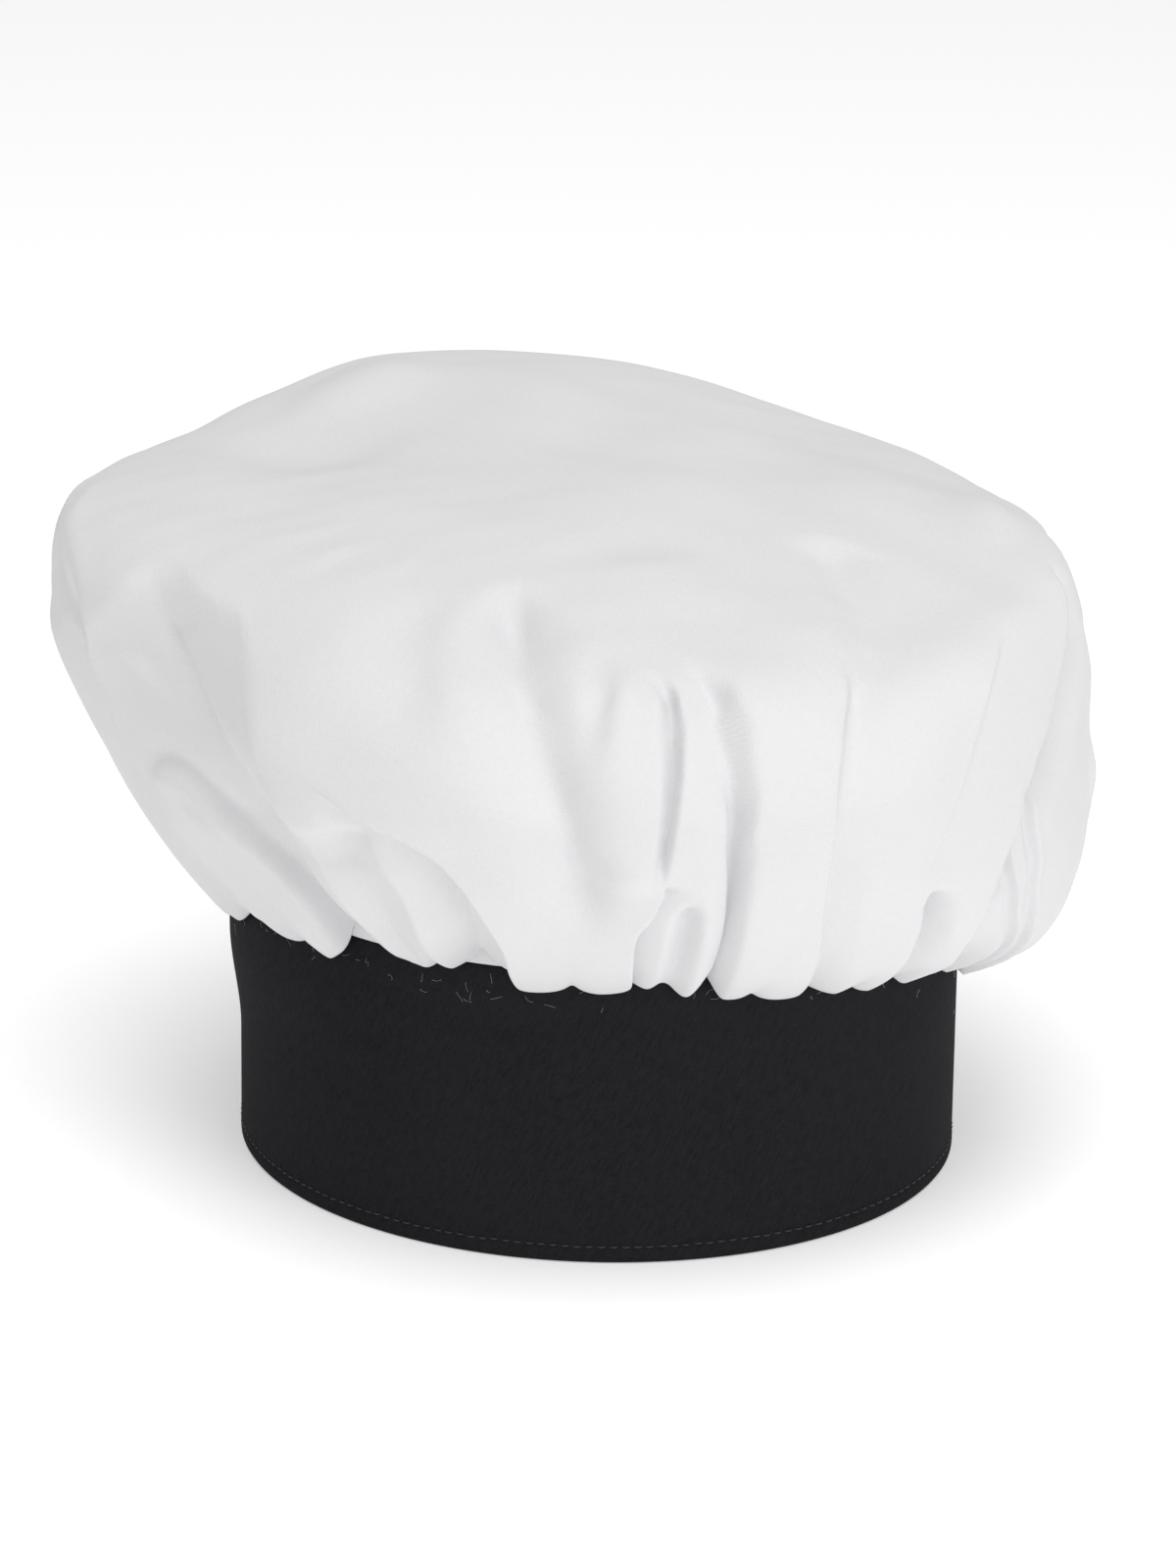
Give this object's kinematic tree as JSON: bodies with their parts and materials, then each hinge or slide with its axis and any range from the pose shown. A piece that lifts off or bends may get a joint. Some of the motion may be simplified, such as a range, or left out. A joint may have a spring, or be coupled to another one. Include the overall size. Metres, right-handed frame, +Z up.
{
  "type": "chef hat",
  "caption": "Soft chef hat: a low, floppy crown of white cotton, gathered on to a plain black headband.",
  "frame": {"origin": "on the surface that the hat stands on, under the middle of the crown's outline", "axes": "+Z up, the way the crown rises; -Y is the front of the hat, and +X its left as it is worn"},
  "size_m": [0.2789, 0.2726, 0.1874],
  "materials": {
    "crown": "white cotton poplin, matt, softly creased",
    "band": "black cotton twill, matt, stiffened"
  },
  "bodies": {
    "root": {"crown": "crown", "band": "band"}
  },
  "joints": []
}
